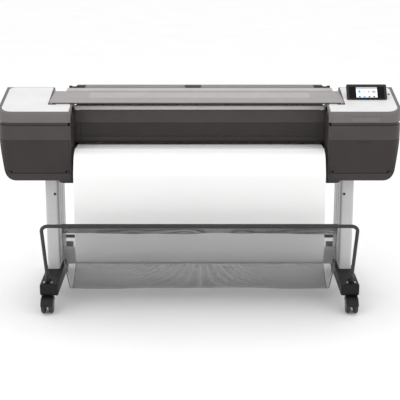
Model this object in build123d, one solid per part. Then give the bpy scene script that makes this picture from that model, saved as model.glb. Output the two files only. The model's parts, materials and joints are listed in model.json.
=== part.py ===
from build123d import *
import os
from math import cos, radians, sin, tan

"""Floor-standing large format plotter on a castered stand, in millimetres.

X runs across the machine, Y from the front to the back and Z up, with the origin on the floor
under the middle of the machine. One STEP file is written for each separate piece.
"""

# ---- driving dimensions --------------------------------------------------------------------
FLOOR_TO_BODY = 595.0       # underside of the printer body
BODY_HALF = 901.0           # half of the widest width
CHEEK_X = 572.0             # inner faces of the two end modules, either side of the sheet
MODULE_FRONT = -128.5
MODULE_REAR = 200.0
WALL = 3.0
GAP = 0.5                   # seam between covers
RUN = 0.05                  # radial clearance of a running fit

SKIRT_TOP = 628.0
DOOR_BOTTOM = 630.5
DOOR_TOP = 778.5
BAND_TOP = 846.0            # top of the middle band, under the shadow groove
LID_SKIRT = 861.0           # underside of the module top shell
MODULE_X = 576.0            # inner wall of an end module
SHOULDERS = {"left": 682.0, "right": 655.0}      # where a module's top steps out beside the top cover
SHOULDER_Y = -32.0
TOP_FRONT_Z = 903.0
TOP_REAR_Z = 966.0
TOP_REAR_Y = 168.0
TOP_SLOPE = (TOP_REAR_Z - TOP_FRONT_Z) / (TOP_REAR_Y - MODULE_FRONT)

WINDOW_PIVOT = (40.0, 875.0)
COVER_X = (-679.0, 652.0)   # the top cover's ends; the right one leaves room for the display
COVER_PIVOT = (146.5, 945.3)
COVER_PIN_R = 3.2

ROLL_Y, ROLL_Z = 258.0, 893.0
ROLL_R = 50.0
PAPER_WIDTH = 1118.0        # a 44 inch web
PAPER = 0.5
FEED_Y = 145.0
FEED_Z = 722.0              # level of the sheet in the print zone
DRIVE_R = 20.0
PINCH_R = 7.0
ROLL_COVER_PIVOT = (206.0, 957.0)

RAIL_Y = 150.0
RAIL_ZS = (776.0, 822.0)
RAIL_R = 7.0
CARRIAGE_X = 740.0          # parked over the service station
BELT_Y, BELT_Z = 169.0, 799.0
PULLEY_X = 830.0
PULLEY_R = 10.0

LEG_X = (652.0, 708.0)
LEG_Y = (-40.0, 204.0)
FOOT_X = (637.0, 717.0)
FOOT_Y = (-234.5, 347.5)
FOOT_Z = (84.0, 140.0)

WHEEL_R = 37.5
CASTER_X = 687.0
CASTER_STEMS = {"front": -193.0, "rear": 300.0}
TRAIL = 21.0
STEM_R = 7.0
AXLE_R = 4.0
WHEEL_X = (8.0, 26.0)       # inner and outer faces of a wheel, from the caster's middle
HOOD_R = 42.0
HOOD_HALF = 28.0

BASKET_PIVOT = (-195.0, 129.0)
BASKET_BAR = (-339.5, 452.0)
BASKET_X = 684.0
TUBE_R = 8.0
SLING_X = 594.5

DISPLAY_X = (672.0, 855.0)
DISPLAY_FOOT = (14.2, 937.3)
DISPLAY_LENGTH = 77.0
DISPLAY_LEAN = 52.0
DISPLAY_PIVOT = (46.0, 952.0)


# ---- helpers -------------------------------------------------------------------------------
def outline(corners):
    """Closed face through (u, v, radius) corners."""
    count = len(corners)
    spans = []
    for i, (u, v, radius) in enumerate(corners):
        corner = Vector(u, v)
        back = (Vector(*corners[i - 1][:2]) - corner).normalized()
        ahead = (Vector(*corners[(i + 1) % count][:2]) - corner).normalized()
        half = radians(back.get_angle(ahead)) / 2
        reach = radius / tan(half)
        inward = (back + ahead).normalized() * (radius / sin(half) - radius) if radius else Vector(0, 0)
        spans.append((corner + back * reach, corner + inward, corner + ahead * reach))
    edges = []
    for i, (start, middle, end) in enumerate(spans):
        if corners[i][2]:
            edges.append(ThreePointArc(start, middle, end))
        following = spans[(i + 1) % count][0]
        if (following - end).length > 1e-6:
            edges.append(Line(end, following))
    return make_face(edges)


def strip(path, thickness):
    """Closed face of a bent sheet whose middle line has (u, v, radius) corners."""
    half = thickness / 2
    left, right = [], []
    last = len(path) - 1
    for i, (u, v, radius) in enumerate(path):
        here = Vector(u, v)
        before = here - Vector(*path[max(i - 1, 0)][:2])
        after = Vector(*path[min(i + 1, last)][:2]) - here
        before = (before if i > 0 else after).normalized()
        after = (after if i < last else before).normalized()
        side_1 = Vector(-before.Y, before.X)
        side_2 = Vector(-after.Y, after.X)
        mitre = (side_1 + side_2).normalized()
        reach = half / mitre.dot(side_1)
        turn = half if before.cross(after).Z > 0 else -half
        a = here + mitre * reach
        b = here - mitre * reach
        left.append((a.X, a.Y, radius - turn if radius else 0))
        right.append((b.X, b.Y, radius + turn if radius else 0))
    return outline(left + right[::-1])


def prism_x(face, x0, x1):
    return Pos(x0, 0, 0) * extrude(Plane.YZ * face, x1 - x0)


def prism_y(face, y0, y1):
    return Pos(0, y1, 0) * extrude(Plane.XZ * face, y1 - y0)


def prism_z(face, z0, z1):
    return Pos(0, 0, z0) * extrude(face, z1 - z0)


def block(x0, x1, y0, y1, z0, z1):
    corner = (Align.MIN, Align.MIN, Align.MIN)
    return Pos(x0, y0, z0) * Box(x1 - x0, y1 - y0, z1 - z0, align=corner)


def rod_x(x0, x1, y, z, radius):
    return Pos((x0 + x1) / 2, y, z) * Rot(0, 90, 0) * Cylinder(radius, x1 - x0)


def rod_y(y0, y1, x, z, radius):
    return Pos(x, (y0 + y1) / 2, z) * Rot(90, 0, 0) * Cylinder(radius, y1 - y0)


def rod_z(z0, z1, x, y, radius):
    return Pos(x, y, (z0 + z1) / 2) * Cylinder(radius, z1 - z0)


def mirrored(shape):
    return mirror(shape, Plane.YZ)


def both(shape):
    return group([shape, mirrored(shape)])


def group(shapes):
    """Separate solids that share one node."""
    solids = [s for shape in shapes for s in shape.solids()]
    return Compound(children=solids)


def write(name, shape):
    export_step(shape, f"parts/{name}.step")


# ---- end modules ---------------------------------------------------------------------------
def module_plan(inset=0.0):
    corner = 65.0
    return outline([
        (MODULE_X + inset, MODULE_FRONT + inset, 0),
        (BODY_HALF - inset, MODULE_FRONT + inset, corner - inset),
        (BODY_HALF - inset, MODULE_REAR - inset, 30.0 - inset),
        (MODULE_X + inset, MODULE_REAR - inset, 0),
    ])


def module_front(inset, low, high):
    """Outline seen from the front: the outer side leans in below the band and rounds under."""
    return outline([
        (MODULE_X + inset, low, 0),
        (868.0 - inset, low, 55.0 - inset),
        (BODY_HALF - inset, 790.0, 60.0),
        (BODY_HALF - inset, high, 0),
        (MODULE_X + inset, high, 0),
    ])


def module_shell():
    outer = prism_z(module_plan(), FLOOR_TO_BODY, BAND_TOP)
    outer &= prism_y(module_front(0, FLOOR_TO_BODY, BAND_TOP), MODULE_FRONT, MODULE_REAR)
    floor, ceiling = FLOOR_TO_BODY + WALL, BAND_TOP - WALL
    inner = prism_z(module_plan(WALL), floor, ceiling)
    inner &= prism_y(module_front(WALL, floor, ceiling), MODULE_FRONT, MODULE_REAR)
    return outer - inner


def slice_z(shape, z0, z1):
    return shape & block(500, 950, -200, 300, z0, z1)


DOOR_WRAP_Y = -60.0         # how far the door reaches round the outer corner
DOOR_PIVOT = (-125.0, 633.5)
DOOR_PIN_R = 2.0


def door_region():
    return block(MODULE_X + 4, 950, -200, DOOR_WRAP_Y, DOOR_BOTTOM, DOOR_TOP)


def door_pins(radius):
    return [rod_x(x - 9, x + 9, *DOOR_PIVOT, radius) for x in (592.0, 846.0)]


def ink_door(shell):
    door = shell & door_region()
    for x, width in ((592.0, 9.5), (846.0, 9.5)):
        door -= block(x - width, x + width, -140, -118, 620, 640)
    for pin in door_pins(DOOR_PIN_R):
        door += pin
    for x in (604.0, 834.0):
        door += rod_x(x - 6, x + 6, *DOOR_PIVOT, 3.4)
    return door


def lower_skirt(shell):
    skirt = slice_z(shell, FLOOR_TO_BODY, SKIRT_TOP)
    skirt -= block(570, MODULE_X + WALL + 0.1, -72, MODULE_REAR - WALL, 598, SKIRT_TOP + 1)
    for x in (588.0, 850.0):
        lug = block(x - 4, x + 4, -128.0, -121.5, SKIRT_TOP - 4, 637.0)
        skirt += lug - rod_x(x - 5, x + 5, *DOOR_PIVOT, DOOR_PIN_R + RUN)
    return skirt


def side_housing(shell):
    housing = slice_z(shell, SKIRT_TOP, BAND_TOP)
    housing -= block(MODULE_X + 3, 950, -200, DOOR_WRAP_Y + 1, SKIRT_TOP, DOOR_TOP + 1)
    housing -= block(570, MODULE_X + WALL + 0.1, 64, MODULE_REAR - WALL, SKIRT_TOP - 1, BAND_TOP - WALL)
    neck = prism_z(module_plan(8), BAND_TOP, LID_SKIRT) - prism_z(module_plan(11), BAND_TOP, LID_SKIRT)
    return housing + neck


def top_plan(shoulder, inset=0.0):
    return outline([
        (MODULE_X + inset, MODULE_FRONT + inset, 0),
        (BODY_HALF - inset, MODULE_FRONT + inset, 65.0 - inset),
        (BODY_HALF - inset, MODULE_REAR - inset, 40.0 - inset),
        (shoulder + inset, MODULE_REAR - inset, 0),
        (shoulder + inset, SHOULDER_Y - inset, 0),
        (MODULE_X + inset, SHOULDER_Y - inset, 0),
    ])


def top_z(y):
    return TOP_FRONT_Z + (y - MODULE_FRONT) * TOP_SLOPE


def top_side(drop, low):
    """Side outline of the sloping module top, lowered by drop."""
    rear = MODULE_REAR + 1
    return outline([
        (MODULE_FRONT - 1, low, 0),
        (MODULE_FRONT - 1, TOP_FRONT_Z - 9 - drop, 0),
        (MODULE_FRONT + 14, top_z(MODULE_FRONT + 14) - drop, 14),
        (TOP_REAR_Y, TOP_REAR_Z - drop, 30),
        (rear, TOP_REAR_Z - 16 - drop, 0),
        (rear, low, 0),
    ])


PANEL_INSET = 14.0          # along the outer edge
PANEL_LIP = 2.0             # along the edges that meet the lid and the cheek
PANEL = 3.0


def top_panel(shoulder):
    """White insert let into the sloping top."""
    slab = prism_x(top_side(0, 870), 560, 910) - prism_x(top_side(PANEL, 860), 560, 910)
    panel = prism_z(panel_plan(shoulder, 0.3), 870, 990) & slab
    return max(panel.solids(), key=lambda s: s.volume)


def panel_plan(shoulder, inset):
    edge = PANEL_INSET + inset
    front = MODULE_FRONT + 20 + inset
    rear = TOP_REAR_Y - 6 - inset
    return outline([
        (MODULE_X + PANEL_LIP + inset, front, 3),
        (BODY_HALF - edge, front, 52),
        (BODY_HALF - edge, rear, 26),
        (shoulder + PANEL_LIP + inset, rear, 3),
        (shoulder + PANEL_LIP + inset, SHOULDER_Y - PANEL_LIP - inset, 1),
        (MODULE_X + PANEL_LIP + inset, SHOULDER_Y - PANEL_LIP - inset, 3),
    ])


def top_shell(shoulder):
    outer = prism_z(top_plan(shoulder), LID_SKIRT, 990) & prism_x(top_side(0, LID_SKIRT), 560, 910)
    cavity = prism_z(top_plan(shoulder, WALL), LID_SKIRT + WALL, 990)
    cavity &= prism_x(top_side(6, LID_SKIRT + WALL), 560, 910)
    opening = prism_z(module_plan(13), LID_SKIRT, LID_SKIRT + WALL) & prism_z(top_plan(shoulder, 13), 850, 990)
    recess = prism_z(panel_plan(shoulder, 0), 870, 990)
    recess -= prism_x(top_side(PANEL, 860), 560, 910)
    shell = outer - cavity - opening - recess
    return shell - rod_x(shoulder - 1, shoulder + 6, *COVER_PIVOT, COVER_PIN_R + RUN)


def inner_cheek():
    """Dark wall between an end module and the sheet."""
    wall = outline([
        (-126, 601.4, 0), (-126, 866, 12), (20, 899, 10), (60, 899, 6), (60, 601.4, 0),
    ])
    cheek = prism_x(wall, CHEEK_X, MODULE_X - 0.2)
    return cheek - rod_x(CHEEK_X - 1, MODULE_X + 1, *WINDOW_PIVOT, 3 + RUN)


# ---- middle of the body --------------------------------------------------------------------
SPAN = CHEEK_X - GAP        # half width of pieces between the cheeks


def window_frame():
    """Front window: an upper band, a bottom rail with a finger lip, and end frames."""
    path = [(34, 884, 0), (31, 830, 120), (27, 760, 60), (14, 741, 10), (4, 739, 0)]
    frame = prism_x(strip(path, 4), -SPAN, SPAN)
    frame -= block(-SPAN + 24, SPAN - 24, 20, 40, 762, 827)
    for x in (-1, 1):
        frame += rod_x(min(x * SPAN, x * (SPAN - 14)), max(x * SPAN, x * (SPAN - 14)), *WINDOW_PIVOT, 6)
        frame += rod_x(min(x * SPAN, x * (SPAN + 4)), max(x * SPAN, x * (SPAN + 4)), *WINDOW_PIVOT, 3)
    return frame


def window_pane():
    path = [(31, 830, 0), (27, 760, 0)]
    pane = prism_x(strip(path, 2.4), -SPAN + 24.3, SPAN - 24.3)
    return pane & block(-SPAN, SPAN, 20, 40, 762.3, 826.7)


def top_frame():
    """Light strip over the window, the deck under the top cover and the web channel behind it."""
    nose = outline([
        (22, 887, 3), (22, 906, 5), (42, 906, 5), (44, 898, 2), (157, 898, 0), (157, 895, 0),
        (34, 895, 0), (34, 887, 2),
    ])
    channel = [
        (156, 896, 0), (156, 951, 3), (165, 954, 3), (169, 945, 3), (186, 945, 3), (189, 955, 2.5),
        (193, 955, 2), (193, 925, 0),
    ]
    return prism_x(nose, -SPAN, SPAN) + prism_x(strip(channel, 2.4), -624, 624)


def top_cover():
    """Shallow hollow lid with stub pins at its rear corners."""
    x0, x1 = COVER_X
    plan = outline([(x0, -30, 12), (x1, -30, 12), (x1, 150, 4), (x0, 150, 4)])
    inner_plan = outline([(x0 + 3, -27, 9), (x1 - 3, -27, 9), (x1 - 3, 147, 3), (x0 + 3, 147, 3)])
    side = outline([(-30, 925, 0), (-30, 932, 4), (151, 949.5, 3), (151, 941.5, 0)])
    under = outline([(-31, 900, 0), (-31, 928.9, 0), (152, 946.6, 0), (152, 900, 0)])
    lid = prism_z(plan, 900, 980) & prism_x(side, x0 - 5, x1 + 5)
    lid -= prism_z(inner_plan, 900, 980) & prism_x(under, x0 - 5, x1 + 5)
    for start in (x0 - 5.5, x1 - 12):
        lid += rod_x(start, start + 17.5, *COVER_PIVOT, COVER_PIN_R)
    return lid


def front_lower_cover():
    """Beam cover under the sheet, with a shallow black underside that runs past the cheeks."""
    wall = [(40, 597.8, 0), (40, 575, 6), (-100, 575, 14), (-104, 659.5, 10), (-84, 659.5, 0)]
    cover = prism_x(strip(wall, 3), -SPAN, SPAN)
    wings = prism_z(
        outline([(-640, -98, 34), (640, -98, 34), (640, -46, 6), (-640, -46, 6)]), 574, FLOOR_TO_BODY - 0.5
    )
    wings -= block(-SPAN, SPAN, -110, 60, 570, 600)
    return cover + wings


def output_guide():
    path = [(18.8, 719.6, 0), (-88, 729.3, 22), (-112, 700, 30), (-102, 661.1, 0)]
    return prism_x(strip(path, 3), -SPAN, SPAN)


def platen():
    """Ribbed vacuum platen with rows of suction slots."""
    plate = block(-SPAN, SPAN, 19, 120, 716, 721.2)
    slots = GridLocations(40, 30, 27, 3)
    for place in slots:
        x, y = place.position.X, place.position.Y
        plate -= block(x - 9, x + 9, 70 + y - 2, 70 + y + 2, 715, 722)
    for y in (30, 108):
        plate += block(-SPAN, SPAN, y - 2, y + 2, 601.2, 716)
    return plate


def rear_panel():
    path = [(174, 716, 0), (200.5, 716, 24), (200.5, 900, 0)]
    guide = prism_x(strip(path, 1.5), -SPAN, SPAN)
    return guide + block(-SPAN, SPAN, 201, 203, 601.2, 790)


def chassis():
    """Sheet-metal base pan, bearing plates for the feed roller and shelves for the ink."""
    pan = block(-790, 790, -70, 195, 598.2, 601.2)
    pan += block(-560, 560, -70, -67, 601.2, 625)
    frame = pan + block(-SPAN, SPAN, 195, 203, 598.2, 601.2)
    for x in (-588.0, 584.0):
        plate = block(x, x + 4, 66, 194, 601.2, 712) + block(x, x + 4, 132, 194, 712, 742)
        plate -= rod_x(x - 1, x + 5, FEED_Y, DRIVE_Z, 8 + RUN)
        plate -= rod_x(x - 1, x + 5, FEED_Y, PINCH_Z, 3 + RUN)
        frame += plate
    for side in (-1, 1):
        for x in (592, 800):
            low, high = sorted((side * x, side * (x + 3)))
            frame += block(low, high, -66, 30, 601.2, 640)
        low, high = sorted((side * 590, side * 846))
        frame += block(low, high, -100, 40, 640, 643)
    return frame


DRIVE_Z = FEED_Z - PAPER / 2 - 0.3 - DRIVE_R
PINCH_Z = FEED_Z + PAPER / 2 + 0.3 + PINCH_R


def drive_roller():
    roller = rod_x(-600, 600, FEED_Y, DRIVE_Z, 8)
    for i in range(9):
        x = (i - 4) * 126
        roller += rod_x(x - 50, x + 50, FEED_Y, DRIVE_Z, DRIVE_R)
    return roller


def pinch_rollers():
    shaft = rod_x(-594, 594, FEED_Y, PINCH_Z, 3)
    for i in range(9):
        x = (i - 4) * 126
        shaft += rod_x(x - 14, x + 14, FEED_Y, PINCH_Z, PINCH_R)
    return shaft


def carriage_rail():
    """Folded cross beam whose end brackets hold the two guide rods and the idler pin."""
    beam = block(-856, 856, 176, 179, 752, 838)
    beam += block(-856, 856, 179, 190, 752, 755)
    beam += block(-856, 856, 179, 190, 835, 838)
    for x in (-856, 852):
        beam += block(x, x + 4, 134, 176, 760, 838)
    beam += rod_y(160, 176, PULLEY_X, BELT_Z, 3)
    for z in RAIL_ZS:
        beam += rod_x(-853, 853, RAIL_Y, z, RAIL_R)
    return beam


def carriage():
    x0, x1 = CARRIAGE_X - 60, CARRIAGE_X + 60
    body = block(x0, x1, 76, 163, 748, 838)
    body = fillet(body.edges().filter_by(Axis.X).sort_by(Axis.Y)[:2], 10)
    body -= block(x0 + 4, x1 - 4, 82, 128, 744, 830)
    for z in RAIL_ZS:
        body -= rod_x(x0 - 1, x1 + 1, RAIL_Y, z, RAIL_R + RUN)
    clamp = block(CARRIAGE_X - 15, CARRIAGE_X + 15, 163, 174, BELT_Z + 7, BELT_Z + 17)
    clamp -= block(CARRIAGE_X - 16, CARRIAGE_X + 16, 164.6, 175, BELT_Z + 9.4, BELT_Z + 12.6)
    return body + clamp


def printheads():
    heads = []
    for x in (-32, 0, 32):
        centre = CARRIAGE_X + x
        head = block(centre - 12, centre + 12, 86, 124, 738, 815)
        head += block(centre - 9, centre + 9, 94, 116, 725.5, 738)
        heads.append(head)
    bridge = block(CARRIAGE_X - 56, CARRIAGE_X + 56, 82, 128, 748, 752)
    return group([Part() + heads + [bridge]])


def carriage_belt():
    loop = SlotCenterToCenter(2 * PULLEY_X, 2 * (PULLEY_R + 1.8))
    hole = SlotCenterToCenter(2 * PULLEY_X, 2 * (PULLEY_R + 0.3))
    return Pos(0, BELT_Y + 4, BELT_Z) * extrude(Plane.XZ * (loop - hole), 8)


def drive_pulley():
    pulley = rod_y(BELT_Y - 4.4, BELT_Y + 4.4, -PULLEY_X, BELT_Z, PULLEY_R)
    return pulley + rod_y(129, BELT_Y, -PULLEY_X, BELT_Z, 3)


def idler_pulley():
    pulley = rod_y(BELT_Y - 4.4, BELT_Y + 4.4, PULLEY_X, BELT_Z, PULLEY_R)
    return pulley - rod_y(BELT_Y - 5, BELT_Y + 5, PULLEY_X, BELT_Z, 3 + RUN)


def carriage_motor():
    motor = rod_y(70, 138, -PULLEY_X, BELT_Z, 21)
    motor += block(-PULLEY_X - 21, -PULLEY_X + 22, 138, 141, BELT_Z - 28, BELT_Z + 28)
    motor += block(-PULLEY_X - 21, -PULLEY_X - 14, 141, 176, BELT_Z - 12, BELT_Z + 12)
    return motor - rod_y(128, 142, -PULLEY_X, BELT_Z, 3 + RUN)


def ink_cartridges():
    one = []
    for i in range(4):
        x = 598 + i * 60
        body = block(x, x + 54, -112, 24, 643, 762)
        body = fillet(body.edges().filter_by(Axis.Y), 4)
        one.append(body - block(x + 14, x + 40, -113, -106, 735, 752))
    return group(one + [mirrored(s) for s in one])


def service_station():
    tub = block(CARRIAGE_X - 56, CARRIAGE_X + 56, 78, 130, 601.2, 716)
    tub -= block(CARRIAGE_X - 52, CARRIAGE_X + 52, 82, 126, 690, 717)
    for x in (-32, 0, 32):
        tub += block(CARRIAGE_X + x - 11, CARRIAGE_X + x + 11, 92, 118, 690, 724)
    return tub


# ---- web and roll --------------------------------------------------------------------------
def paper_sheet():
    top = ROLL_Z + ROLL_R + 0.3 + PAPER / 2
    path = [
        (ROLL_Y, top, 0), (196, top, 16), (196, FEED_Z, 20), (60, FEED_Z, 40), (-95, 733.5, 14),
        (-150, 716, 60), (-185, 640, 70), (-185, 270, 90), (-158, 226, 40), (-127, 208, 0),
    ]
    return prism_x(strip(path, PAPER), -PAPER_WIDTH / 2, PAPER_WIDTH / 2)


def media_roll():
    return rod_x(-559, 559, ROLL_Y, ROLL_Z, ROLL_R) - rod_x(-560, 560, ROLL_Y, ROLL_Z, 38)


def spindle():
    shaft = rod_x(-600, 600, ROLL_Y, ROLL_Z, 18)
    return shaft + rod_x(-626, 626, ROLL_Y, ROLL_Z, 10)


def spindle_hubs():
    hub = rod_x(500, 559.2, ROLL_Y, ROLL_Z, 38) + rod_x(559.2, 566, ROLL_Y, ROLL_Z, 56)
    hub += rod_x(566, 592, ROLL_Y, ROLL_Z, 27)
    return both(hub - rod_x(499, 593, ROLL_Y, ROLL_Z, 18))


def spindle_supports():
    plate = outline([
        (MODULE_REAR, 800, 0), (MODULE_REAR, 964, 4), (214, 964, 8), (222, 935, 8), (243, 925, 6),
        (273, 925, 8), (290, 890, 12), (280, 855, 20),
    ])
    support = prism_x(plate, 603, 617)
    support -= rod_x(602, 618, ROLL_Y, ROLL_Z, 10 + RUN)
    support -= block(602, 618, ROLL_Y - 10 - RUN, ROLL_Y + 10 + RUN, ROLL_Z, 940)
    support -= rod_x(602, 618, *ROLL_COVER_PIVOT, 4 + RUN)
    return both(support)


def roll_cover_path():
    lift = 63.5
    return [
        (ROLL_COVER_PIVOT[0], ROLL_Z + lift, 0), (ROLL_Y + lift, ROLL_Z + lift, lift - 1),
        (ROLL_Y + lift, ROLL_Z - 20, 0),
    ]


def roll_cover():
    """Curved lid over the roll, with a lip bent down along its front."""
    path = roll_cover_path()
    lip = [(path[0][0] - 6.5, path[0][1] - 8, 0), (path[0][0] - 5, path[0][1], 4)]
    return prism_x(strip(lip + path[1:], 3), -541.7, 541.7)


def roll_cover_caps():
    cap = prism_x(strip(roll_cover_path(), 3), 541.9, 585)
    cap += rod_x(541.9, 585, ROLL_COVER_PIVOT[0], ROLL_COVER_PIVOT[1], 5.5)
    cap += rod_x(580, 616, *ROLL_COVER_PIVOT, 4)
    return both(cap)


def electronics_box():
    box = block(250, 520, 203.2, 244, 640, 760)
    box -= block(253, 517, 206, 241, 643, 757)
    box -= block(270, 310, 240, 245, 660, 690)
    box -= block(330, 350, 240, 245, 662, 688)
    for x in (390, 425, 460):
        box -= block(x, x + 18, 240, 245, 668, 682)
    return box


def power_inlet():
    inlet = block(270.3, 309.7, 218, 244.8, 660.3, 689.7)
    inlet -= block(277, 303, 224, 245, 666, 684)
    for x in (283, 290, 297):
        inlet += block(x - 1, x + 1, 224, 236, 673, 678)
    return inlet


def power_switch():
    rocker = outline([(226, 664, 2), (226, 686, 2), (247.5, 686.5, 2), (244.5, 675, 8), (244.5, 663.5, 2)])
    return prism_x(rocker, 331, 349)


# ---- display -------------------------------------------------------------------------------
def display_slab(x0, x1, along0, along1, deep0, deep1, corner):
    """Slab in the leaning plane of the display: along its face and into its depth."""
    face = outline([(x0, along0, corner), (x1, along0, corner), (x1, along1, corner), (x0, along1, corner)])
    slab = prism_y(face, deep0, deep1)
    return Pos(0, *DISPLAY_FOOT) * Rot(-(90 - DISPLAY_LEAN), 0, 0) * slab


def display_housing():
    x0, x1 = DISPLAY_X
    housing = display_slab(x0, x1, 0, DISPLAY_LENGTH, 0, 9, 7)
    housing -= display_slab(x0 + 11, x1 - 11, 4, DISPLAY_LENGTH - 12, -1, 2.5, 2)
    housing -= prism_x(top_side(-0.8, 860), 560, 910)
    housing += block(741, 801, 36, DISPLAY_PIVOT[0], DISPLAY_PIVOT[1] - 2.5, DISPLAY_PIVOT[1] + 4)
    housing += rod_x(741, 801, *DISPLAY_PIVOT, 4.5)
    return housing + rod_x(719, 823, *DISPLAY_PIVOT, 2.5)


def display_glass():
    x0, x1 = DISPLAY_X
    return display_slab(x0 + 11.3, x1 - 11.3, 4.3, DISPLAY_LENGTH - 12.3, 0.2, 2.4, 2)


def display_bracket():
    lugs = []
    for x in (720, 804):
        side = outline([(40, top_z(40), 0), (41.5, 956.5, 4), (50.5, 956.5, 4), (53, top_z(53), 0)])
        lugs.append(prism_x(side, x, x + 18) - rod_x(x - 1, x + 19, *DISPLAY_PIVOT, 2.5 + RUN))
    return group(lugs)


BUTTON = (872.0, 80.0)


def power_button():
    return rod_z(top_z(BUTTON[1]) - 7, top_z(BUTTON[1]) + 3, *BUTTON, 5)


def button_hole():
    return rod_z(900, 980, *BUTTON, 5.3)


# ---- stand ---------------------------------------------------------------------------------
def leg():
    x0, x1 = LEG_X
    y0, y1 = LEG_Y
    outer = outline([(x0, y0, 8), (x1, y0, 8), (x1, y1, 8), (x0, y1, 8)])
    inner = outline([(x0 + 3, y0 + 3, 5), (x1 - 3, y0 + 3, 5), (x1 - 3, y1 - 3, 5), (x0 + 3, y1 - 3, 5)])
    tube = prism_z(outer, FOOT_Z[1], FLOOR_TO_BODY) - prism_z(inner, FOOT_Z[1] + 4, FLOOR_TO_BODY - 4)
    for y in (-14, 176):
        tube -= block(x0 - 1, x0 + 1.2, y - 3, y + 3, FOOT_Z[1] + 60, FLOOR_TO_BODY - 30)
    return tube


def foot():
    y0, y1 = FOOT_Y
    z0, z1 = FOOT_Z
    side = outline([
        (y0, z0 + 14, 5), (y0 + 12, z0, 6), (y1 - 12, z0, 6), (y1, z0 + 14, 5), (y1, z1, 9), (y0, z1, 9),
    ])
    body = prism_x(side, *FOOT_X)
    body = chamfer(body.edges().filter_by(Axis.Y).group_by(Axis.Z)[-1], 3)
    body -= block(FOOT_X[0] + 7, FOOT_X[1] - 7, -150, 255, z0 - 1, z1 - 8)
    body -= block(BASKET_X - 11, BASKET_X + 11, -222, -166, 116, z1 + 1)
    body -= rod_x(FOOT_X[0] - 1, FOOT_X[1] + 1, *BASKET_PIVOT, AXLE_R)
    for y in CASTER_STEMS.values():
        body -= rod_z(z0 - 1, z0 + 28, CASTER_X, y, STEM_R + RUN)
    return body


def cross_beam():
    face = outline([(82, 118, 4), (132, 118, 4), (132, 189, 4), (82, 189, 4)])
    hollow = outline([(85, 121, 2), (129, 121, 2), (129, 186, 2), (85, 186, 2)])
    beam = prism_x(face, -FOOT_X[0], FOOT_X[0]) - prism_x(hollow, -FOOT_X[0] + 5, FOOT_X[0] - 5)
    for x0, x1 in ((-LEG_X[0], -FOOT_X[0]), (FOOT_X[0], LEG_X[0])):
        beam += block(x0, x1, 86, 128, FOOT_Z[1], 189)
    return beam


def rear_rod():
    return rod_x(-700, 700, LEG_Y[1] + TUBE_R, 212, TUBE_R)


def basket_frame():
    """U-shaped tube whose arm ends turn on pins in the feet."""
    route = FilletPolyline(
        (-BASKET_X, *BASKET_PIVOT), (-BASKET_X, *BASKET_BAR), (BASKET_X, *BASKET_BAR),
        (BASKET_X, *BASKET_PIVOT), radius=30,
    )
    start = Plane(origin=route @ 0, z_dir=route % 0)
    frame = sweep(start * Circle(TUBE_R), path=route)
    for x in (-BASKET_X, BASKET_X):
        frame += rod_x(x - 9, x + 9, *BASKET_PIVOT, 9)
    for x in (-BASKET_X, BASKET_X):
        frame -= rod_x(x - 12, x + 12, *BASKET_PIVOT, AXLE_R + RUN)
    return frame


def basket_fabric():
    """Mesh sling from a sleeve on the front bar, under the cross beam, to the rear rod."""
    path = [
        (BASKET_BAR[0] + 0.6, BASKET_BAR[1] - TUBE_R - 0.9, 0), (-309.5, 271, 180), (-204.5, 158, 160),
        (-153.5, 95, 140), (-46.5, 42, 110), (82, 112, 60), (190, 122, 40), (211, 203, 0),
    ]
    sling = prism_x(strip(path, 1.2), -SLING_X, SLING_X)
    sleeve = rod_x(-SLING_X, SLING_X, *BASKET_BAR, TUBE_R + 1.5)
    sleeve -= rod_x(-SLING_X - 1, SLING_X + 1, *BASKET_BAR, TUBE_R + 0.3)
    return sling + sleeve


def screws():
    """Stand bolts, basket pins and body screws."""
    solids = []
    for side in (-1, 1):
        solids.append(rod_x(*sorted((side * (FOOT_X[0] - 1.5), side * (FOOT_X[1] + 1.5))), *BASKET_PIVOT, AXLE_R))
        for y in (20, 140):
            solids.append(rod_z(601.2, 605, side * sum(LEG_X) / 2, y, 7))
        solids.append(rod_y(LEG_Y[0] - 1.2, LEG_Y[0], side * 664, 505, 6.2))
        for z in (150, 178):
            solids.append(rod_x(*sorted((side * LEG_X[1], side * (LEG_X[1] + 2.5))), 107, z, 6))
    return group(solids)


# ---- casters -------------------------------------------------------------------------------
def caster(x, stem_y, toward):
    """Hooded twin-wheel caster: the hood with its stem, and the wheels on their axle."""
    y = stem_y + toward * TRAIL
    hood = rod_x(x - HOOD_HALF, x + HOOD_HALF, y, WHEEL_R, HOOD_R)
    hood = fillet(hood.edges(), 6) - block(x - 40, x + 40, y - 60, y + 60, -20, WHEEL_R + 6)
    hood += rod_x(x - WHEEL_X[0] + 1, x + WHEEL_X[0] - 1, y, WHEEL_R, 13)
    hood += rod_z(60, FOOT_Z[0] - 0.6, x, stem_y, 13)
    for x0, x1 in ((x - HOOD_HALF - 1, x - WHEEL_X[0] + 1), (x + WHEEL_X[0] - 1, x + HOOD_HALF + 1)):
        hood -= rod_x(x0, x1, y, WHEEL_R, WHEEL_R + 1.5)
    hood -= rod_x(x - WHEEL_X[0], x + WHEEL_X[0], y, WHEEL_R, AXLE_R + RUN)
    hood += rod_z(FOOT_Z[0] - 0.6, FOOT_Z[0] + 26, x, stem_y, STEM_R)
    wheels = rod_x(x - HOOD_HALF, x + HOOD_HALF, y, WHEEL_R, AXLE_R)
    for x0, x1 in ((x - WHEEL_X[1], x - WHEEL_X[0]), (x + WHEEL_X[0], x + WHEEL_X[1])):
        tyre = rod_x(x0, x1, y, WHEEL_R, WHEEL_R)
        wheels += fillet(tyre.edges(), 4)
    return hood, wheels


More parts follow.
